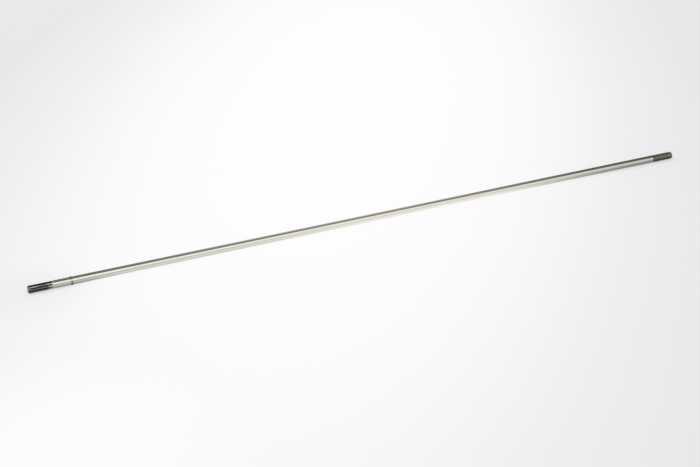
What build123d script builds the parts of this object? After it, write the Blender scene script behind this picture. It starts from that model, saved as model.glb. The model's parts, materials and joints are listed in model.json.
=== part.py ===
from build123d import *
import os
from math import acos, degrees, radians, sqrt, tan

# A slim drive shaft, turned, ground and milled from one steel bar. One end has spline teeth, the other
# is turned for a screw thread. A crimped stop near the splined end keeps what slides on from going on.
#
# Frame: millimetres. The shaft's axis is X and the origin is on it at mid-length. The splined end points
# along -X and the threaded end along +X. The shaft lies at rest, on the bar and on its stop's lower ear.

# The bar.
SHAFT_LENGTH = 770.0
BAR_DIAMETER = 8.0

# The splined end: straight grooves, milled by a disc cutter that runs out of the bar in an arc.
SPLINE_DIAMETER = 7.7
SPLINE_TIP_CHAMFER = 0.5
TOOTH_COUNT = 9
TOOTH_TURN = 8.7  # degrees about the axis, from +Y towards +Z, to the middle of a tooth
GROOVE_LENGTH = 24.1  # from the tip to the end of the run-out
GROOVE_DEPTH = 0.8
GROOVE_WIDTH = 1.5  # at the tooth crests
GROOVE_FLANK_ANGLE = 22.5  # degrees, each flank from the groove's middle plane
GROOVE_CORNER_RADIUS = 0.2
CUTTER_RADIUS = 12.0
SPLINE_LAND = 1.2  # plain length between the run-outs and the step up to the bar
STEP_LENGTH = 0.6

# The crimped stop: round-nosed dies leave a shallow waist, and two ears where their halves meet.
STOP_SEAT_LENGTH = 16.3  # plain bar between the step and the ears, for a bearing
DIE_NOSE_RADIUS = 3.0
WAIST_DEPTH = 0.15
EAR_HEIGHT = 0.4  # above the bar
EAR_WIDTH = 3.0  # around the bar
EAR_LENGTH = 1.9  # along the bar

# The threaded end: a shallow relief, and the plain form of the thread's outer diameter.
THREAD_DIAMETER = 8.0
THREAD_LENGTH = 27.4  # from the bar to the tip
THREAD_TIP_CHAMFER = 0.8
RELIEF_WIDTH = 1.2  # between the bar and the thread, at the bar's surface
RELIEF_DEPTH = 0.3  # below the bar, with sides at 45 degrees

# Radii, and stations along the axis.
bar_radius = BAR_DIAMETER / 2
spline_radius = SPLINE_DIAMETER / 2
root_radius = spline_radius - GROOVE_DEPTH
thread_radius = THREAD_DIAMETER / 2
relief_radius = bar_radius - RELIEF_DEPTH
run_out_length = sqrt(2 * CUTTER_RADIUS * GROOVE_DEPTH - GROOVE_DEPTH**2)

spline_tip = -SHAFT_LENGTH / 2
step_start = spline_tip + GROOVE_LENGTH + SPLINE_LAND
step_end = step_start + STEP_LENGTH
stop_middle = step_end + STOP_SEAT_LENGTH + EAR_LENGTH / 2
thread_tip = SHAFT_LENGTH / 2
relief_start = thread_tip - THREAD_LENGTH
thread_start = relief_start + RELIEF_WIDTH


def turned_bar():
    """The whole shaft as it leaves the lathe: half its section, turned about the axis."""
    outline = Polyline(
        (spline_tip, 0),
        (spline_tip, spline_radius - SPLINE_TIP_CHAMFER),
        (spline_tip + SPLINE_TIP_CHAMFER, spline_radius),
        (step_start, spline_radius),
        (step_end, bar_radius),
        (relief_start, bar_radius),
        (relief_start + RELIEF_DEPTH, relief_radius),
        (thread_start - RELIEF_DEPTH, relief_radius),
        (thread_start, thread_radius),
        (thread_tip - THREAD_TIP_CHAMFER, thread_radius),
        (thread_tip, thread_radius - THREAD_TIP_CHAMFER),
        (thread_tip, 0),
        close=True,
    )
    return revolve(make_face(outline), Axis.X)


def groove_cutter():
    """What the disc cutter takes out in one pass along the top of the bar."""
    rim_height = CUTTER_RADIUS / 2
    flank_slope = tan(radians(GROOVE_FLANK_ANGLE))
    mouth_depth = sqrt(spline_radius**2 - (GROOVE_WIDTH / 2) ** 2) - root_radius
    rim_width = GROOVE_WIDTH + 2 * (rim_height - mouth_depth) * flank_slope
    tooth_form = Trapezoid(rim_width, rim_height, 90 - GROOVE_FLANK_ANGLE, align=(Align.CENTER, Align.MAX))
    tooth_form = fillet(tooth_form.vertices().group_by(Axis.Y)[-1], GROOVE_CORNER_RADIUS)
    full_depth_end = spline_tip + GROOVE_LENGTH - run_out_length
    place = Plane(origin=(full_depth_end, 0, root_radius), x_dir=(0, -1, 0), z_dir=(1, 0, 0))
    section = place * tooth_form
    cutter_axis = Axis((full_depth_end, 0, root_radius + CUTTER_RADIUS), (0, -1, 0))
    straight = extrude(section, amount=spline_tip - 1 - full_depth_end)
    return straight + revolve(section, cutter_axis, revolution_arc=90)


def stop_waist():
    """The ring that the die noses press in."""
    ring_radius = bar_radius - WAIST_DEPTH + DIE_NOSE_RADIUS
    return Pos(stop_middle, 0, 0) * Rot(Y=90) * Torus(ring_radius, DIE_NOSE_RADIUS)


def arc_radius(half_chord, rise):
    """The radius of an arc from its half chord and its rise."""
    return (half_chord**2 + rise**2) / (2 * rise)


def stop_ears():
    """Two ears, each where a bead around the bar and a ridge along it cross."""
    crest = bar_radius + EAR_HEIGHT
    half_width = EAR_WIDTH / 2
    bead_radius = arc_radius(EAR_LENGTH / 2, EAR_HEIGHT)
    ridge_radius = arc_radius(half_width, crest - sqrt(bar_radius**2 - half_width**2))
    bead = Rot(Y=90) * Torus(crest - bead_radius, bead_radius)
    ridge = Pos(0, 0, crest - ridge_radius) * Rot(Y=90) * Cylinder(ridge_radius, 4 * bead_radius)
    ear = bead & ridge
    # The bar rolls until the lower ear's ridge touches the plane that it lies on.
    lean = degrees(acos((bar_radius - ridge_radius) / (crest - ridge_radius)))
    return [Pos(stop_middle, 0, 0) * Rot(X=turn - lean) * ear for turn in (0, 180)]


def drive_shaft():
    """The finished shaft, one solid."""
    cutter = groove_cutter()
    groove_turns = [TOOTH_TURN - 90 + 360 * (k + 0.5) / TOOTH_COUNT for k in range(TOOTH_COUNT)]
    grooves = [Rot(X=turn) * cutter for turn in groove_turns]
    return turned_bar() - grooves - stop_waist() + stop_ears()


os.makedirs("parts", exist_ok=True)
export_step(drive_shaft(), "parts/drive_shaft.step")
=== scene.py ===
import json
import math

import bpy
import numpy as np
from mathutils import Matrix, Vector


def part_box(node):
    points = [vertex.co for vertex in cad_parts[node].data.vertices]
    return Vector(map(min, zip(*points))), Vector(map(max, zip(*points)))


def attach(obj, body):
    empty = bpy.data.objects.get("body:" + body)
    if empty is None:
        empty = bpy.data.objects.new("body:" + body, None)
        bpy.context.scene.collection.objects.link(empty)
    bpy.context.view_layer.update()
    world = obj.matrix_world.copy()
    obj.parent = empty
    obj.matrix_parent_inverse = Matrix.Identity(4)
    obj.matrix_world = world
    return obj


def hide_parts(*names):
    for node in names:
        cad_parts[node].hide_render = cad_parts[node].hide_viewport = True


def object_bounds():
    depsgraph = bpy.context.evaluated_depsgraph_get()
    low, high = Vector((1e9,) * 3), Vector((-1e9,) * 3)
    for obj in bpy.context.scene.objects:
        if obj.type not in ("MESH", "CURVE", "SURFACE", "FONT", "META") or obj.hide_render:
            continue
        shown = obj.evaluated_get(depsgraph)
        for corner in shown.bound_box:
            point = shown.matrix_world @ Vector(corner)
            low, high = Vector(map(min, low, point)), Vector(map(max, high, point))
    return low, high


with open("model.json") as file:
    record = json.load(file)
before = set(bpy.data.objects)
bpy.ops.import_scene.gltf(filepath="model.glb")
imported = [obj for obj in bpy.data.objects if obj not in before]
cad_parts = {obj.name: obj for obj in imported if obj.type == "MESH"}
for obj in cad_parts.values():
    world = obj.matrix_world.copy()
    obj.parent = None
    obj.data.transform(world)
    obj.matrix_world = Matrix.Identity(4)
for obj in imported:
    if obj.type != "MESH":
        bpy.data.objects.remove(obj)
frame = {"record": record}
cad_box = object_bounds()

# The looks of a slim steel drive shaft. Lengths in the shape functions are millimetres, as in the
# part's source. The scene's own lengths are metres. The shaft's axis is X and its thread points to +X.

MM = 0.001


def mount(name):
    """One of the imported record's mounts."""
    return next(m for m in frame["record"]["mounts"] if m["name"] == name)


def mount_span(name):
    """Where a pin mount starts and ends along the axis, in millimetres."""
    pin = mount(name)
    middle = pin["pos_m"][0] / MM
    half = pin["dims"]["length_mm"] / 2
    return middle - half, middle + half


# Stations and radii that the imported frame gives.
node_low, node_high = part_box("drive_shaft")
spline_tip = node_low.x / MM
thread_tip = node_high.x / MM
bar_radius = mount("plain_bar")["dims"]["r_mm"]
thread_radius = mount("threaded_end")["dims"]["r_mm"]
seat_start, ear_start = mount_span("bearing_seat")
ear_end, relief_start = mount_span("plain_bar")
thread_start, thread_chamfer_start = mount_span("threaded_end")

# Sizes that the frame doesn't carry. Those of the part's own forms repeat its source. The edge breaks,
# the blends and the thread's form are this script's own.

# The splined end.
SPLINE_RADIUS = 3.85
TIP_CHAMFER = 0.5
TOOTH_COUNT = 9
TOOTH_TURN = 8.7  # degrees about the axis, from +Y towards +Z, to the middle of a tooth
GROOVE_LENGTH = 24.1
GROOVE_DEPTH = 0.8
GROOVE_HALF_WIDTH = 0.75
GROOVE_FLANK_ANGLE = math.radians(22.5)
GROOVE_CORNER_RADIUS = 0.2
CUTTER_RADIUS = 12.0
TOOTH_EDGE_BREAK = 0.07
SHALLOW_BREAK = 0.3  # the most of a shallow groove's depth that its edge break takes
RUN_OUT_EDGE = 0.02  # from the run-outs' end to the close ring behind it
LAND_BLEND = 0.7  # from the run-outs' end to where the land's columns are even again
STEP_LENGTH = 0.6

# The crimped stop.
DIE_NOSE_RADIUS = 3.0
WAIST_DEPTH = 0.15
EAR_HEIGHT = 0.4
EAR_WIDTH = 3.0
EAR_BLEND = 0.05

# The threaded end.
THREAD_PITCH = 1.25
THREAD_DEPTH = 0.725
THREAD_RUN_OUT = 1.9
THREAD_FLANK = ((0.11, 0.0), (0.29, 0.312), (0.469, 0.622), (0.535, 0.70))  # along from a crest, and deep
RELIEF_DEPTH = 0.3
EDGE_BREAK = 0.12

root_radius = SPLINE_RADIUS - GROOVE_DEPTH
run_out_length = math.sqrt(2 * CUTTER_RADIUS * GROOVE_DEPTH - GROOVE_DEPTH**2)
groove_end = spline_tip + GROOVE_LENGTH
full_depth_end = groove_end - run_out_length
step_start = seat_start - STEP_LENGTH
stop_middle = (ear_start + ear_end) / 2
ear_half_length = (ear_end - ear_start) / 2
relief_radius = bar_radius - RELIEF_DEPTH
thread_root = thread_radius - THREAD_DEPTH
thread_tip_radius = thread_radius - (thread_tip - thread_chamfer_start)


# ---- Shape of the shaft: rings of points around the axis -------------------------------------

HALF_TOOTH = math.pi / TOOTH_COUNT
GROOVE_COLUMNS = 9  # from the groove's middle to the crest's edge
CREST_COLUMNS = 3  # from the crest's edge to the tooth's middle, which is the last
RING = TOOTH_COUNT * 2 * (GROOVE_COLUMNS + CREST_COLUMNS - 1)
RIM_SAMPLES = 40
CORNER_SAMPLES = 60
FLANK_SAMPLES = 200
FORM_STOPS = (0, 1, 1.33, 1.67, 2, 2.22)  # where columns lie on the groove's form, up to the flank's foot
CHAMFER_RINGS = 7
STRAIGHT_RINGS = 9
RUN_OUT_RINGS = 25
LAND_RINGS = 9
SEAT_RINGS = 4
STOP_RINGS = 29
BAR_RINGS = 44
STOP_MARGIN = 0.1  # how far the stop's own rings reach past the ears
CLEAR_OF_STOP = 0.6  # from the ears to the first plain ring
SPLINE_FACE_RADII = (0.9, 1.8, 2.6)
THREAD_FACE_RADII = (1.7, 0.9)
SHARP_ANGLE = math.radians(35)
groove_turn = math.radians(TOOTH_TURN) + HALF_TOOTH
even_angles = groove_turn + 2 * math.pi * np.arange(RING) / RING


def groove_form():
    """Half the cutter's form: across, up from its rim, and the number of its stretch at each point.

    The stretches are the flat rim from 0 to 1, the rounded corner to 2 and the flank from there on.
    """
    slope = math.tan(GROOVE_FLANK_ANGLE)
    mouth = math.sqrt(SPLINE_RADIUS**2 - GROOVE_HALF_WIDTH**2) - root_radius
    corner = GROOVE_HALF_WIDTH - mouth * slope
    flat = corner - GROOVE_CORNER_RADIUS / math.tan(math.pi / 4 + GROOVE_FLANK_ANGLE / 2)
    turn = np.linspace(0, math.pi / 2 - GROOVE_FLANK_ANGLE, CORNER_SAMPLES)
    across = [np.linspace(0, flat, RIM_SAMPLES), flat + GROOVE_CORNER_RADIUS * np.sin(turn)]
    up = [np.zeros(RIM_SAMPLES), GROOVE_CORNER_RADIUS * (1 - np.cos(turn))]
    rise = np.linspace(0, 1.5 * GROOVE_DEPTH, FLANK_SAMPLES)
    across.append(across[1][-1] + rise * slope)
    up.append(up[1][-1] + rise)
    counts = (RIM_SAMPLES, CORNER_SAMPLES, FLANK_SAMPLES)
    stretch = [np.linspace(k, k + 1, count) for k, count in enumerate(counts)]
    return tuple(np.concatenate(part) for part in (across, up, stretch))


form_across, form_up, form_stretch = groove_form()


def grooved_ring(x, crest):
    """Angles and radii of one ring of the spline, where the turned bar has the radius crest."""
    past = max(0.0, x - full_depth_end)
    height = root_radius + CUTTER_RADIUS - np.sqrt((CUTTER_RADIUS - form_up) ** 2 - past**2)
    radius = np.hypot(height, form_across)
    angle = np.arctan2(form_across, height)
    edge = float(np.interp(crest, radius, form_stretch))
    edge_angle = float(np.interp(edge, form_stretch, angle))
    depth = max(0.0, crest - radius[0])
    soften = min(TOOTH_EDGE_BREAK, SHALLOW_BREAK * depth)
    flank_top = float(np.interp(crest - soften, radius, form_stretch))
    crest_start = edge_angle + soften / crest
    stops = np.minimum([*FORM_STOPS, flank_top], flank_top)
    half_angle = list(np.interp(stops, form_stretch, angle))
    half_radius = list(np.interp(stops, form_stretch, radius))
    half_angle.append(0.5 * edge_angle + 0.25 * (half_angle[-1] + crest_start))
    half_radius.append(0.5 * crest + 0.25 * (half_radius[-1] + crest))
    half_angle += list(np.linspace(crest_start, HALF_TOOTH, CREST_COLUMNS + 1))
    half_radius += [crest] * (CREST_COLUMNS + 1)
    half_angle, half_radius = np.array(half_angle), np.array(half_radius)
    pitch_angle = np.concatenate([half_angle, 2 * HALF_TOOTH - half_angle[-2:0:-1]])
    pitch_radius = np.concatenate([half_radius, half_radius[-2:0:-1]])
    starts = groove_turn + 2 * HALF_TOOTH * np.arange(TOOTH_COUNT)
    return (starts[:, None] + pitch_angle).ravel(), np.tile(pitch_radius, TOOTH_COUNT)


def round_corners(corners, steps=5):
    """An outline through (along, radius, rounding) corners, with each rounded corner as an arc."""
    outline = []
    for i, (x, r, rounding) in enumerate(corners):
        if rounding == 0:
            outline.append((x, r))
            continue
        here = Vector((x, r))
        before = (Vector(corners[i - 1][:2]) - here).normalized()
        after = (Vector(corners[i + 1][:2]) - here).normalized()
        half = before.angle(after) / 2
        centre = here + (before + after).normalized() * rounding / math.sin(half)
        reach = rounding / math.tan(half)
        first, last = here + before * reach - centre, here + after * reach - centre
        sweep = first.angle(last)
        for k in range(steps + 1):
            t = k / steps
            spoke = (math.sin((1 - t) * sweep) * first + math.sin(t * sweep) * last) / math.sin(sweep)
            outline.append(tuple(centre + spoke))
    return outline


def arc_radius(half_chord, rise):
    """The radius of an arc from its half chord and its rise."""
    return (half_chord**2 + rise**2) / (2 * rise)


def stop_ring(x):
    """Radii of one ring of the crimped stop: a pressed waist, and an ear on each side."""
    along = x - stop_middle
    nose = math.sqrt(DIE_NOSE_RADIUS**2 - along**2)
    waist = bar_radius - WAIST_DEPTH + DIE_NOSE_RADIUS - nose
    base = np.full(RING, min(bar_radius, waist))
    crest = bar_radius + EAR_HEIGHT
    half_width = EAR_WIDTH / 2
    bead_radius = arc_radius(ear_half_length, EAR_HEIGHT)
    bead = crest - bead_radius + math.sqrt(bead_radius**2 - along**2)
    ridge_radius = arc_radius(half_width, crest - math.sqrt(bar_radius**2 - half_width**2))
    ridge_out = crest - ridge_radius
    lean = math.acos((bar_radius - ridge_radius) / ridge_out)
    for ear_turn in (math.pi / 2 - lean, 3 * math.pi / 2 - lean):
        away = np.angle(np.exp(1j * (even_angles - ear_turn)))
        inside = np.maximum(ridge_radius**2 - (ridge_out * np.sin(away)) ** 2, 0)
        ridge = np.where(np.cos(away) > 0, ridge_out * np.cos(away) + np.sqrt(inside), 0)
        ear = np.minimum(bead, ridge)
        over = np.clip(0.5 + (ear - base) / (2 * EAR_BLEND), 0, 1)
        base = base + (ear - base) * over + EAR_BLEND * over * (1 - over)
    return np.minimum(base, crest)


def turned_rings(outline):
    """Plain rings, one for each point of a turned outline."""
    return [(np.full(RING, x), even_angles, np.full(RING, r)) for x, r in outline]


def spline_rings():
    """From the tip, over the toothed length and the run-outs, to the plain land behind them."""
    tip_radius = SPLINE_RADIUS - TIP_CHAMFER
    rises = np.linspace(0, TIP_CHAMFER, CHAMFER_RINGS)
    chamfer = [(spline_tip + rise, tip_radius + rise) for rise in rises]
    straight = np.linspace(spline_tip + TIP_CHAMFER, full_depth_end, STRAIGHT_RINGS)[1:]
    run_out = full_depth_end + run_out_length * np.sin(np.linspace(0, math.pi / 2, RUN_OUT_RINGS)[1:])
    places = chamfer + [(x, SPLINE_RADIUS) for x in np.concatenate([straight, run_out])]
    rings = []
    for x, crest in places:
        angle, radius = grooved_ring(x, crest)
        rings.append((np.full(RING, x), angle, radius))
    # Behind the run-outs, one close ring keeps their ends crisp, and the next ones even out their angles.
    for share in np.linspace(0, 1, LAND_RINGS):
        x = groove_end + RUN_OUT_EDGE + share * (LAND_BLEND - RUN_OUT_EDGE)
        rings.append((np.full(RING, x), angle + share * (even_angles - angle), np.full(RING, SPLINE_RADIUS)))
    return rings


def thread_groove():
    """The thread's form over one pitch, from a crest: shares of the pitch and depths."""
    form = [*THREAD_FLANK, (THREAD_PITCH / 2, THREAD_DEPTH)]
    form += [(THREAD_PITCH - along, depth) for along, depth in reversed(THREAD_FLANK)]
    return [along / THREAD_PITCH for along, depth in form], [depth for along, depth in form]


def thread_rings(first, last, turned_along, turned_radius):
    """Rings that follow a right-hand thread between the stations first and last."""
    share, depth = thread_groove()
    turns = math.ceil((last - first) / THREAD_PITCH) + 2
    wind = np.arange(RING) / RING
    rings = []
    for turn in range(-1, turns):
        for s, d in zip(share, depth):
            x = np.clip(first + THREAD_PITCH * (turn + s + wind), first, last)
            run_in = np.clip((x - relief_start) / THREAD_RUN_OUT, 0, 1)
            cut = np.maximum(thread_radius - d, bar_radius - (bar_radius - thread_root) * run_in)
            radius = np.minimum(cut, np.interp(x, turned_along, turned_radius))
            rings.append((x, even_angles, radius))
    return rings, len(share)


def skin(rings, points, faces, first_ring, seam_shift):
    """Adds the rings' points, and faces between them.

    The last column meets the first one seam_shift rings on, as a thread's does.
    """
    numbers = [first_ring]
    for x, angle, radius in rings:
        numbers.append(np.arange(RING) + len(points))
        points.extend(zip(x, radius * np.cos(angle), radius * np.sin(angle)))
    for j in range(1, len(numbers)):
        lower = np.append(numbers[j - 1], numbers[min(j - 1 + seam_shift, len(numbers) - 1)][0])
        upper = np.append(numbers[j], numbers[min(j + seam_shift, len(numbers) - 1)][0])
        faces.extend(zip(lower[:-1], lower[1:], upper[1:], upper[:-1]))
    return numbers[-1]


def shaft_mesh():
    """The whole shaft, as one closed mesh."""
    rings = spline_rings()
    rings += turned_rings(
        round_corners(
            [
                (groove_end + 0.8, SPLINE_RADIUS, 0),
                (step_start, SPLINE_RADIUS, EDGE_BREAK),
                (seat_start, bar_radius, EDGE_BREAK),
                (seat_start + 1, bar_radius, 0),
            ]
        )
    )
    seat = np.linspace(seat_start + 4, ear_start - CLEAR_OF_STOP, SEAT_RINGS)
    rings += turned_rings([(x, bar_radius) for x in seat])
    for along in np.linspace(-1, 1, STOP_RINGS):
        x = stop_middle + along * (ear_half_length + STOP_MARGIN)
        rings.append((np.full(RING, x), even_angles, stop_ring(x)))
    plain = np.linspace(ear_end + CLEAR_OF_STOP, relief_start - 1, BAR_RINGS)
    rings += turned_rings([(x, bar_radius) for x in plain])
    thread_outline = round_corners(
        [
            (relief_start - 0.3, bar_radius, 0),
            (relief_start, bar_radius, EDGE_BREAK),
            (relief_start + RELIEF_DEPTH, relief_radius, EDGE_BREAK),
            (thread_start - RELIEF_DEPTH, relief_radius, EDGE_BREAK),
            (thread_start, thread_radius, EDGE_BREAK),
            (thread_chamfer_start, thread_radius, EDGE_BREAK),
            (thread_tip, thread_tip_radius, EDGE_BREAK),
            (thread_tip, 0, 0),
        ]
    )
    turned_along = np.array([x for x, r in thread_outline])
    turned_radius = np.array([r for x, r in thread_outline])
    grid_start = thread_outline[0][0]
    grid_end = float(np.interp(-thread_root, -turned_radius, turned_along))
    rings += turned_rings([thread_outline[0]])

    # The tip's ring closes the spline's face, and a fan of triangles closes each end.
    points, faces = [], []
    face_rings = turned_rings([(spline_tip, r) for r in SPLINE_FACE_RADII])
    x, angle, radius = face_rings[0]
    points.extend(zip(x, radius * np.cos(angle), radius * np.sin(angle)))
    inner = np.arange(RING)
    last_ring = skin(face_rings[1:] + rings, points, faces, inner, 0)
    grid, seam_shift = thread_rings(grid_start, grid_end, turned_along, turned_radius)
    last_ring = skin(grid, points, faces, last_ring, seam_shift)
    tip_outline = [(x, r) for x, r in thread_outline if 0 < r < thread_root]
    tip_outline += [(thread_tip, r) for r in THREAD_FACE_RADII]
    last_ring = skin(turned_rings(tip_outline), points, faces, last_ring, 0)
    for ring, x, turn in ((inner, spline_tip, -1), (last_ring, thread_tip, 1)):
        centre = len(points)
        points.append((x, 0.0, 0.0))
        ahead = np.roll(ring, -turn)
        faces.extend((int(a), int(b), centre) for a, b in zip(ring, ahead))
    return points, faces


def weld(points, faces):
    """Joins points that lie on each other and drops the faces that have no area left."""
    points = np.array(points, float)
    keys = np.round(points, 5)
    _, kept, number = np.unique(keys, axis=0, return_index=True, return_inverse=True)
    number = number.ravel()
    clean = []
    for face in faces:
        corners = []
        for corner in face:
            n = int(number[corner])
            if n not in corners:
                corners.append(n)
        if len(corners) > 2:
            clean.append(corners)
    return points[kept] * MM, clean


def new_mesh(name, points, faces):
    """A smooth-shaded mesh object, creased where its faces turn sharply."""
    mesh = bpy.data.meshes.new(name)
    mesh.from_pydata([tuple(p) for p in points], [], faces)
    mesh.validate()
    mesh.polygons.foreach_set("use_smooth", [True] * len(mesh.polygons))
    mesh.set_sharp_from_angle(angle=SHARP_ANGLE)
    thing = bpy.data.objects.new(name, mesh)
    bpy.context.scene.collection.objects.link(thing)
    return thing


# ---- Materials --------------------------------------------------------------------------------


class Nodes:
    """Short calls for adding nodes to one material or world."""

    def __init__(self, tree):
        self.tree = tree
        tree.nodes.clear()

    def add(self, kind, inputs=(), **settings):
        """Adds a node. Inputs are (socket, value or output socket) pairs."""
        node = self.tree.nodes.new(kind)
        for name, value in settings.items():
            setattr(node, name, value)
        for socket, value in inputs:
            if isinstance(value, bpy.types.NodeSocket):
                self.tree.links.new(value, node.inputs[socket])
            else:
                node.inputs[socket].default_value = value
        return node

    def math(self, operation, *values):
        return self.add("ShaderNodeMath", enumerate(values), operation=operation).outputs[0]

    def ramp(self, value, start, end, low=0.0, high=1.0, smooth=True):
        """Maps start..end to low..high, held outside."""
        sockets = ("Value", "From Min", "From Max", "To Min", "To Max")
        pairs = zip(sockets, (value, start, end, low, high))
        kind = "SMOOTHSTEP" if smooth else "LINEAR"
        return self.add("ShaderNodeMapRange", pairs, interpolation_type=kind).outputs["Result"]

    def mix(self, share, first, second):
        """Mixes two colours."""
        node = self.add("ShaderNodeMix", data_type="RGBA")
        for socket, value in ((node.inputs[0], share), (node.inputs[6], first), (node.inputs[7], second)):
            if isinstance(value, bpy.types.NodeSocket):
                self.tree.links.new(value, socket)
            else:
                socket.default_value = value
        return node.outputs[2]

    def blend(self, share, first, second):
        """Mixes two numbers."""
        gap = self.math("SUBTRACT", second, first)
        return self.math("MULTIPLY_ADD", share, gap, first)

    def noise(self, place, closeness, detail=2.0, roughness=0.5):
        """Noise with about that many features to a metre along X, Y and Z."""
        scaled = self.add("ShaderNodeVectorMath", ((0, place), (1, closeness)), operation="MULTIPLY")
        pairs = (("Vector", scaled.outputs[0]), ("Scale", 1.0), ("Detail", detail), ("Roughness", roughness))
        return self.add("ShaderNodeTexNoise", pairs).outputs["Fac"]

    def distance(self, place, point):
        """How far a place is from a fixed point."""
        gap = self.add("ShaderNodeVectorMath", ((0, place), (1, point)), operation="DISTANCE")
        return gap.outputs["Value"]


def grey(value, red=0.0, blue=0.0):
    """A grey as a colour, with that share more red and that share less blue."""
    return (value * (1 + red), value, value * (1 - blue), 1.0)


# How close each pattern's features come, to a metre along X, Y and Z.
FINE_RINGS = (5200, 60, 60)
COARSE_RINGS = (620, 25, 25)
LIGHT_MARKS = (55, 1900, 1900)
OIL_PATCHES = (26, 110, 110)
GROOVE_SPECKS = (1500, 2600, 2600)
RING_CLIMB = 0.7  # how much the rings' station grows with the radius

# Where the finish changes, in millimetres over the axis as the shaft lies. These zones were set from one
# side, so they aren't even round the shaft, and they partly stand in for how light falls on it.
# These zones are painted light by height: the crest and crimp highlight bands are painted highlights,
# and the crest top, the tip's bottom and top, and the thread's bottom and top are painted shade.
CREST_TOP_SHADE = (3.3, 3.7)
CREST_HIGHLIGHT_FOOT = (0.9, 2.8)
CREST_HIGHLIGHT_TOP = (3.7, 3.5)
CRIMP_HIGHLIGHT_FOOT = (0.2, 2.4)
CRIMP_HIGHLIGHT_TOP = (3.8, 3.2)
TIP_LIGHT = (-2.5, 2.0)
TIP_SHADE = (2.6, 3.2)
THREAD_SHADE_LOW = (1.6, -1.5)
THREAD_SHADE_HIGH = (3.0, 3.8)

# Where the dark finish ends, in millimetres along the shaft.
TOOTHED_SETBACK = 8.0  # from the run-outs' end towards the tip
TOOTHED_WANDER = 5.0
# Where the painted crest highlight falls, the dark finish's edge moves towards the tip.
TOOTHED_HIGHLIGHT_SHIFT = -1.8
# Where the painted top shade falls, the dark finish's edge moves away from the tip.
TOOTHED_TOP_SHADE_SHIFT = 5.0
CRIMP_HALF_LENGTH = 0.75
THREAD_LAP = 0.75  # over the bar's end
EDGE_WANDER = 0.5  # how far oil patches move the edges at the crimp and the thread

BARE_TINT = grey(0.90, 0.035, 0.085)
OILED_TINT = grey(0.82, 0.045, 0.115)
RINGED_TINT = grey(0.74, 0.045, 0.115)
CREST_TINT = grey(0.32, 0.10, 0.18)
OILED_CREST_TINT = grey(0.22, 0.12, 0.22)
CREST_TOP_SHADE_TINT = grey(0.10, 0.10, 0.20)
CREST_HIGHLIGHT_TINT = grey(0.41, 0.05, 0.12)
TIP_CREST_HIGHLIGHT_TINT = grey(0.80, 0.05, 0.12)
GROOVE_TINT = grey(0.015, 0.10, 0.15)
SPECK_TINT = grey(0.045, 0.12, 0.20)
TIP_LOW_SHADE_TINT = grey(0.25, 0.08, 0.16)
WORN_TIP_TINT = grey(0.93, 0.05, 0.12)
SHADED_TIP_TINT = grey(0.20, 0.06, 0.14)
CRIMP_TINT = grey(0.28, 0.05, 0.10)
THREAD_ROOT_TINT = grey(0.13, 0.05, 0.24)
THREAD_CREST_TINT = grey(0.95, 0.05, 0.22)
THREAD_SHADE_TINT = grey(0.05, 0.05, 0.19)
THREAD_START_TINT = grey(0.10, 0.04, 0.14)
THREAD_END_TINT = grey(0.60, 0.03, 0.12)
THREAD_FACE_TINT = grey(0.50, 0.05, 0.12)
FACE_RING_TINT = grey(0.15, 0.08, 0.16)
SCRATCH_TINT = grey(0.9)


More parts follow.
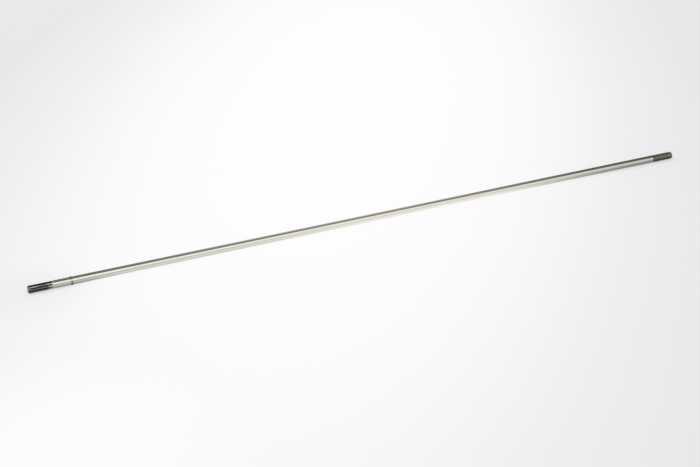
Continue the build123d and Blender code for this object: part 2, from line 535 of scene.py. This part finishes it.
def steel():
    """Ground bar steel, dark in the spline's grooves, at the crimp and on the thread."""
    material = bpy.data.materials.new("ground_steel")
    material.use_nodes = True
    n = Nodes(material.node_tree)
    place = n.add("ShaderNodeTexCoord").outputs["Object"]
    x, y, z = n.add("ShaderNodeSeparateXYZ", ((0, place),)).outputs
    radius = n.math("SQRT", n.math("ADD", n.math("MULTIPLY", y, y), n.math("MULTIPLY", z, z)))

    def edge(measure, start, end):
        """A soft edge between two measures in millimetres."""
        return n.ramp(measure, start * MM, end * MM)

    # Grinding leaves fine rings, handling leaves light marks along the bar, and oil lies in soft patches.
    # The rings' station grows with the radius too, so that a faced end has rings around its middle.
    station = n.math("MULTIPLY_ADD", radius, RING_CLIMB, x)
    turned_place = n.add("ShaderNodeCombineXYZ", ((0, station), (1, y), (2, z))).outputs[0]
    rings = n.noise(turned_place, FINE_RINGS, 3.0, 0.6)
    coarse_rings = n.noise(turned_place, COARSE_RINGS)
    scratches = n.ramp(n.noise(place, LIGHT_MARKS), 0.66, 0.74)
    patches = n.noise(place, OIL_PATCHES, 3.0, 0.55)
    specks = n.ramp(n.noise(place, GROOVE_SPECKS, 3.0, 0.6), 0.56, 0.72)

    # The spline: its crests are dark up to a wandering edge and worn bare at the tip. A painted highlight
    # lightens a band below their top as the shaft lies, and painted shade darkens their top.
    crest_highlight = n.math("MULTIPLY", edge(z, *CREST_HIGHLIGHT_FOOT), edge(z, *CREST_HIGHLIGHT_TOP))
    crest_top_shade = edge(z, *CREST_TOP_SHADE)
    at_tip = edge(x, spline_tip + 12, spline_tip + 6)
    toothed_edge = n.math("MULTIPLY_ADD", patches, TOOTHED_WANDER * MM, (groove_end - TOOTHED_SETBACK) * MM)
    toothed_edge = n.math("MULTIPLY_ADD", crest_highlight, TOOTHED_HIGHLIGHT_SHIFT * MM, toothed_edge)
    toothed_edge = n.math("MULTIPLY_ADD", crest_top_shade, TOOTHED_TOP_SHADE_SHIFT * MM, toothed_edge)
    toothed = n.ramp(x, n.math("ADD", toothed_edge, 2.5 * MM), n.math("SUBTRACT", toothed_edge, 1.0 * MM))
    in_groove = edge(radius, SPLINE_RADIUS - 0.05, SPLINE_RADIUS - 0.24)
    grooved = n.math("MULTIPLY", in_groove, edge(x, groove_end + 0.5, groove_end))
    splined_face = edge(x, spline_tip + 0.15, spline_tip + 0.05)
    worn_tip = edge(x, spline_tip + 1.4, spline_tip + 0.3)
    worn_tip = n.math("MULTIPLY", worn_tip, n.blend(in_groove, 1.0, 0.3))
    worn_tip = n.math("MAXIMUM", worn_tip, splined_face)

    # The crimp is darker over its pressed length. A band round its middle heights, as the shaft lies, is
    # less dark, so that a painted highlight shows there.
    from_stop = n.math("ABSOLUTE", n.math("SUBTRACT", x, stop_middle * MM))
    crimp_edge = n.math("MULTIPLY_ADD", patches, EDGE_WANDER * MM, CRIMP_HALF_LENGTH * MM)
    crimp_start = n.math("ADD", crimp_edge, 0.35 * MM)
    crimp = n.ramp(from_stop, crimp_start, n.math("SUBTRACT", crimp_edge, 0.25 * MM))
    crimp_highlight_band = n.math("MULTIPLY", edge(z, *CRIMP_HIGHLIGHT_FOOT), edge(z, *CRIMP_HIGHLIGHT_TOP))
    crimp = n.math("MULTIPLY", crimp, n.blend(crimp_highlight_band, 1.0, 0.15))

    # The thread's dark finish starts a little before the relief, and its crests are lighter.
    lap_edge = n.math("MULTIPLY_ADD", patches, EDGE_WANDER * MM, (relief_start - THREAD_LAP) * MM)
    thread = edge(n.math("SUBTRACT", x, lap_edge), -0.2, 0.2)
    thread_edge = edge(x, relief_start + 2.2, relief_start + 0.6)
    thread_crest = edge(radius, thread_radius - 0.17, thread_radius - 0.03)
    thread_end = edge(x, thread_tip - 4.0, thread_tip - 1.0)
    threaded_face = edge(x, thread_tip - 0.15, thread_tip - 0.05)
    # Painted shade: the thread is darker on its bottom and its top as the shaft lies.
    thread_painted_shade = n.math("MAXIMUM", edge(z, *THREAD_SHADE_LOW), edge(z, *THREAD_SHADE_HIGH))
    faced = n.math("MAXIMUM", splined_face, threaded_face)

    bare = n.mix(n.math("MULTIPLY", patches, 0.8), BARE_TINT, OILED_TINT)
    bare = n.mix(n.math("MULTIPLY", coarse_rings, 0.22), bare, RINGED_TINT)
    crest = n.mix(patches, CREST_TINT, OILED_CREST_TINT)
    # Painted shade along the crests' top.
    crest = n.mix(crest_top_shade, crest, CREST_TOP_SHADE_TINT)
    # Painted highlight on the crests, lighter still near the tip.
    crest = n.mix(crest_highlight, crest, n.mix(at_tip, CREST_HIGHLIGHT_TINT, TIP_CREST_HIGHLIGHT_TINT))
    colour = n.mix(toothed, bare, crest)
    colour = n.mix(grooved, colour, n.mix(specks, GROOVE_TINT, SPECK_TINT))
    # The worn tip is bare steel, with painted shade on its bottom and its top as the shaft lies.
    tip = n.mix(edge(z, *TIP_LIGHT), TIP_LOW_SHADE_TINT, WORN_TIP_TINT)
    tip = n.mix(edge(z, *TIP_SHADE), tip, SHADED_TIP_TINT)
    colour = n.mix(n.math("MULTIPLY", worn_tip, 0.85), colour, tip)
    colour = n.mix(n.math("MULTIPLY", crimp, 0.95), colour, CRIMP_TINT)
    thread_colour = n.mix(thread_crest, THREAD_ROOT_TINT, THREAD_CREST_TINT)
    thread_colour = n.mix(n.math("MULTIPLY", thread_painted_shade, 0.5), thread_colour, THREAD_SHADE_TINT)
    thread_colour = n.mix(n.math("MULTIPLY", thread_edge, 0.6), thread_colour, THREAD_START_TINT)
    thread_colour = n.mix(n.math("MULTIPLY", thread_end, 0.5), thread_colour, THREAD_END_TINT)
    colour = n.mix(thread, colour, thread_colour)
    colour = n.mix(n.math("MULTIPLY", threaded_face, 0.7), colour, THREAD_FACE_TINT)
    face_rings = n.math("MULTIPLY", faced, n.ramp(rings, 0.4, 0.7, 0.0, 0.35))
    colour = n.mix(face_rings, colour, FACE_RING_TINT)
    colour = n.mix(n.math("MULTIPLY", scratches, 0.18), colour, SCRATCH_TINT)

    dull = n.math("MAXIMUM", n.math("MAXIMUM", toothed, crimp), thread)
    rough = n.math("MULTIPLY_ADD", patches, 0.08, 0.12)
    rough = n.math("MULTIPLY_ADD", rings, 0.06, rough)
    rough = n.math("MULTIPLY_ADD", dull, 0.10, rough)
    rough = n.math("MULTIPLY_ADD", grooved, 0.20, rough)
    rough = n.math("MULTIPLY_ADD", thread, n.blend(thread_crest, 0.22, 0.0), rough)

    edge_tint = n.mix(dull, grey(1.0), grey(0.5))

    bump_height = n.math("MULTIPLY_ADD", coarse_rings, 0.5, n.math("MULTIPLY", rings, 0.5))
    bump_height = n.math("MULTIPLY_ADD", scratches, -0.5, bump_height)
    bump_height = n.math("MULTIPLY_ADD", n.math("MULTIPLY", specks, dull), 1.2, bump_height)
    bump_height = n.math("MULTIPLY_ADD", n.math("MULTIPLY", rings, faced), 2.5, bump_height)
    bump = n.add("ShaderNodeBump", (("Strength", 0.5), ("Distance", 0.01 * MM), ("Height", bump_height)))
    shader = n.add(
        "ShaderNodeBsdfPrincipled",
        (
            ("Base Color", colour),
            ("Metallic", 1.0),
            ("Roughness", rough),
            ("Specular Tint", edge_tint),
            ("Normal", bump.outputs["Normal"]),
        ),
    )
    n.add("ShaderNodeOutputMaterial", (("Surface", shader.outputs[0]),))
    return material


# ---- Floor, light and camera -------------------------------------------------------------------

FLOOR_SIDES = 96
FLOOR_REACHES = (0.5, 1.5, 4.0, 8.0, 14.0)
FLOOR_DARKEST = 0.78
POOL_CENTRE = (0.113, 0.324, 0.0)
POOL_TURN = (0, 0, math.radians(-33))
POOL_LENGTHS = (0.818, 2.58, 1.0)
POOL_LEVEL = 0.997
POOL_FALL = 2.67
SECOND_POOL = (-0.50, -0.29, 0.0)
SECOND_REACH = 0.24
SECOND_LIFT = 0.06


def floor_material():
    """A pale floor with a painted pool of light towards its middle, over a matt floor that keeps shadows."""
    material = bpy.data.materials.new("pale_floor")
    material.use_nodes = True
    n = Nodes(material.node_tree)
    place = n.add("ShaderNodeTexCoord").outputs["Object"]
    x, y, _ = n.add("ShaderNodeSeparateXYZ", ((0, place),)).outputs
    pairs = (("Vector", place), ("Location", POOL_CENTRE), ("Rotation", POOL_TURN), ("Scale", POOL_LENGTHS))
    local = n.add("ShaderNodeMapping", pairs, vector_type="TEXTURE").outputs[0]
    away = n.add("ShaderNodeVectorMath", ((0, local),), operation="LENGTH").outputs["Value"]
    # A painted pool of light: the floor's tone falls off from the pool's middle.
    tone = n.math("SUBTRACT", POOL_LEVEL, n.math("POWER", away, POOL_FALL))
    # A second, smaller painted pool of light.
    second = n.ramp(n.distance(place, SECOND_POOL), SECOND_REACH, 0.0, 0.0, SECOND_LIFT)
    tone = n.math("ADD", tone, second)
    seen = n.math("MINIMUM", n.math("MAXIMUM", tone, FLOOR_DARKEST), 1.0)

    # The floor's painted tone in the steel's reflections, by station: dim at both ends, with painted
    # shade close to the shaft.
    mirrored = n.math("ADD", n.ramp(x, -0.37, -0.27, 0.40, 0.74), n.ramp(x, -0.27, 0.06, 0.0, 0.15))
    mirrored = n.math("MULTIPLY", mirrored, n.ramp(x, 0.12, 0.37, 1.0, 0.22))
    mirrored = n.math("MULTIPLY", mirrored, n.ramp(x, -0.372, -0.357, 0.45, 1.0))
    painted_contact_shade = n.math("MULTIPLY", n.ramp(x, -0.35, -0.29, 0.5, 0.93), n.ramp(x, -0.2, 0.08, 1.0, 1.2))
    painted_contact_shade = n.math("MULTIPLY", painted_contact_shade, n.ramp(x, 0.14, 0.31, 1.0, 0.62))
    near_shaft_shade = n.ramp(n.math("ABSOLUTE", y), 0.003, 0.009, painted_contact_shade, 1.0)
    mirrored = n.math("MULTIPLY", mirrored, near_shaft_shade)

    paths = n.add("ShaderNodeLightPath")
    glossy = paths.outputs["Is Glossy Ray"]
    level = n.blend(glossy, seen, mirrored)
    glow = n.add("ShaderNodeEmission", (("Color", grey(1.0)), ("Strength", level)))
    matt = n.add("ShaderNodeBsdfDiffuse", (("Color", grey(0.86)), ("Roughness", 0.4)))

    # The glow is what direct rays see, and the matt floor under it carries the shadow. Near the splined
    # tip more of the matt floor shows.
    direct = n.math("MAXIMUM", paths.outputs["Is Camera Ray"], glossy)
    direct = n.math("MAXIMUM", direct, paths.outputs["Is Transmission Ray"])
    from_tip = n.distance(place, (spline_tip * MM, 0, 0))
    bleached = n.ramp(tone, 0.86, 0.97, 0.52, 0.96)
    bleached = n.math("MULTIPLY", bleached, n.ramp(from_tip, 0.02, 0.08, 0.62, 1.0))
    mirrored_share = n.math("MULTIPLY", glossy, n.ramp(from_tip, 0.03, 0.09, 0.0, 0.5))
    bleached = n.blend(mirrored_share, bleached, 1.0)
    share = n.math("MULTIPLY", direct, bleached)
    mixed = n.add("ShaderNodeMixShader", ((0, share), (1, matt.outputs[0]), (2, glow.outputs[0])))
    n.add("ShaderNodeOutputMaterial", (("Surface", mixed.outputs[0]),))
    return material


def make_floor(height):
    """A wide round floor."""
    turns = np.linspace(0, 2 * math.pi, FLOOR_SIDES + 1)[:-1]
    points = [(0.0, 0.0, height)]
    faces = []
    for k, reach in enumerate(FLOOR_REACHES):
        base = len(points)
        points += [(reach * math.cos(t), reach * math.sin(t), height) for t in turns]
        for i in range(len(turns)):
            j = (i + 1) % len(turns)
            if k == 0:
                faces.append((0, base + i, base + j))
            else:
                inner = base - len(turns)
                faces.append((inner + i, base + i, base + j, inner + j))
    floor = new_mesh("floor", points, faces)
    floor.data.materials.append(floor_material())
    return floor


LAMP_EDGE = (math.radians(31), math.radians(17))  # from the lamp's middle to its dark and its full side
ROOM_LEVEL = 0.88
BEHIND_LEVEL = 0.50


def make_world():
    """A pale room as plain light. In reflections it has a long lamp high in front and another behind.

    Each reflected tone is set by how far a direction leans along the shaft, and by its height round
    the shaft: 0 is level in front, 90 overhead and 180 level behind.
    """
    world = bpy.data.worlds.new("room")
    bpy.context.scene.world = world
    world.use_nodes = True
    n = Nodes(world.node_tree)
    direction = n.add("ShaderNodeTexCoord").outputs["Generated"]
    x, y, z = n.add("ShaderNodeSeparateXYZ", ((0, direction),)).outputs
    height = n.math("ARCTAN2", z, n.math("MULTIPLY", y, -1.0))
    lean = n.math("ABSOLUTE", x)
    turned = n.ramp(x, 0.1, -0.1)

    rise = n.ramp(lean, 0.22, 0.44, smooth=False)
    fall = n.ramp(lean, 0.47, 0.58)
    low = n.math("MULTIPLY", n.blend(rise, 0.27, 0.76), n.blend(fall, 1.0, 0.48))
    lamp = n.math("MULTIPLY", n.blend(rise, 1.06, 0.92), n.blend(fall, 1.0, 0.61))
    lamp = n.math("MULTIPLY", lamp, n.ramp(lean, 0.42, 0.48, 1.0, 1.1))
    dark = n.math("MULTIPLY", n.blend(rise, 0.13, 0.26), n.blend(fall, 1.0, 0.20))
    back = n.math("MULTIPLY", n.ramp(lean, 0.26, 0.38), n.ramp(lean, 0.52, 0.44))

    middle = n.blend(fall, n.blend(rise, math.radians(45), math.radians(42)), math.radians(27))
    from_front = n.math("ABSOLUTE", n.math("SUBTRACT", height, middle))
    from_back = n.math("ABSOLUTE", n.math("SUBTRACT", n.math("SUBTRACT", math.pi, height), middle))
    front_lamp = n.math("MULTIPLY", n.ramp(from_front, *LAMP_EDGE), n.ramp(x, -0.5, -0.1, 0.4, 1.0))
    back_lamp = n.math("MULTIPLY", n.ramp(from_back, *LAMP_EDGE), turned)
    back_lamp = n.math("MULTIPLY", back_lamp, n.ramp(x, -0.55, -0.4, 0.4, 1.0))
    in_lamp = n.math("MAXIMUM", front_lamp, back_lamp)
    above = n.ramp(height, math.radians(50), math.radians(80))
    past_top = n.ramp(height, math.radians(130), math.radians(100))
    above = n.math("MULTIPLY", above, n.blend(turned, 1.0, past_top))
    behind = n.math("MULTIPLY", back, n.ramp(height, math.radians(112), math.radians(136)))
    behind = n.math("MULTIPLY", behind, n.ramp(x, -0.1, 0.1))
    tone = n.blend(above, low, dark)
    tone = n.blend(behind, tone, BEHIND_LEVEL)
    tone = n.blend(in_lamp, tone, lamp)
    paths = n.add("ShaderNodeLightPath")
    strength = n.blend(paths.outputs["Is Glossy Ray"], ROOM_LEVEL, tone)
    background = n.add("ShaderNodeBackground", (("Color", grey(1.0)), ("Strength", strength)))
    n.add("ShaderNodeOutputWorld", (("Surface", background.outputs[0]),))


KEY_PLACE = (-2.8, 2.5, 4.2)
KEY_SIZE = 2.4
KEY_POWER = 50.0


def make_key_light():
    """A broad soft lamp behind the shaft, on the splined end's side, that the camera doesn't see."""
    data = bpy.data.lights.new("key_light", "AREA")
    data.shape = "RECTANGLE"
    data.size = KEY_SIZE
    data.size_y = KEY_SIZE
    data.energy = KEY_POWER
    lamp = bpy.data.objects.new("key_light", data)
    bpy.context.scene.collection.objects.link(lamp)
    lamp.location = KEY_PLACE
    aim = -Vector(KEY_PLACE)
    lamp.rotation_euler = aim.to_track_quat("-Z", "Y").to_euler()
    lamp.visible_camera = False


VIEW_TURN = math.radians(26.79)
VIEW_TILT = math.radians(24.98)
VIEW_DISTANCE = 1.6532
VIEW_MIDDLE = (-0.0320, -0.01882)  # right of and above the shaft's middle
LENS = 79.46
SENSOR = 36.0


def make_camera():
    """The camera looks down on the shaft's side, from the splined end's side."""
    data = bpy.data.cameras.new("camera")
    data.lens = LENS
    data.sensor_width = SENSOR
    camera = bpy.data.objects.new("camera", data)
    bpy.context.scene.collection.objects.link(camera)
    right = Vector((math.cos(VIEW_TURN), -math.sin(VIEW_TURN), 0))
    level = Vector((math.sin(VIEW_TURN), math.cos(VIEW_TURN), 0))
    ahead = level * math.cos(VIEW_TILT) - Vector((0, 0, math.sin(VIEW_TILT)))
    above = right.cross(ahead)
    camera.location = right * VIEW_MIDDLE[0] + above * VIEW_MIDDLE[1] - ahead * VIEW_DISTANCE
    camera.rotation_euler = ahead.to_track_quat("-Z", "Y").to_euler()
    bpy.context.scene.camera = camera


bpy.context.scene.view_settings.view_transform = "Standard"

shaft = new_mesh("shaft", *weld(*shaft_mesh()))
shaft.data.materials.append(steel())
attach(shaft, "root")
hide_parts("drive_shaft")

floor = make_floor(cad_box[0].z)
make_world()
make_key_light()
make_camera()
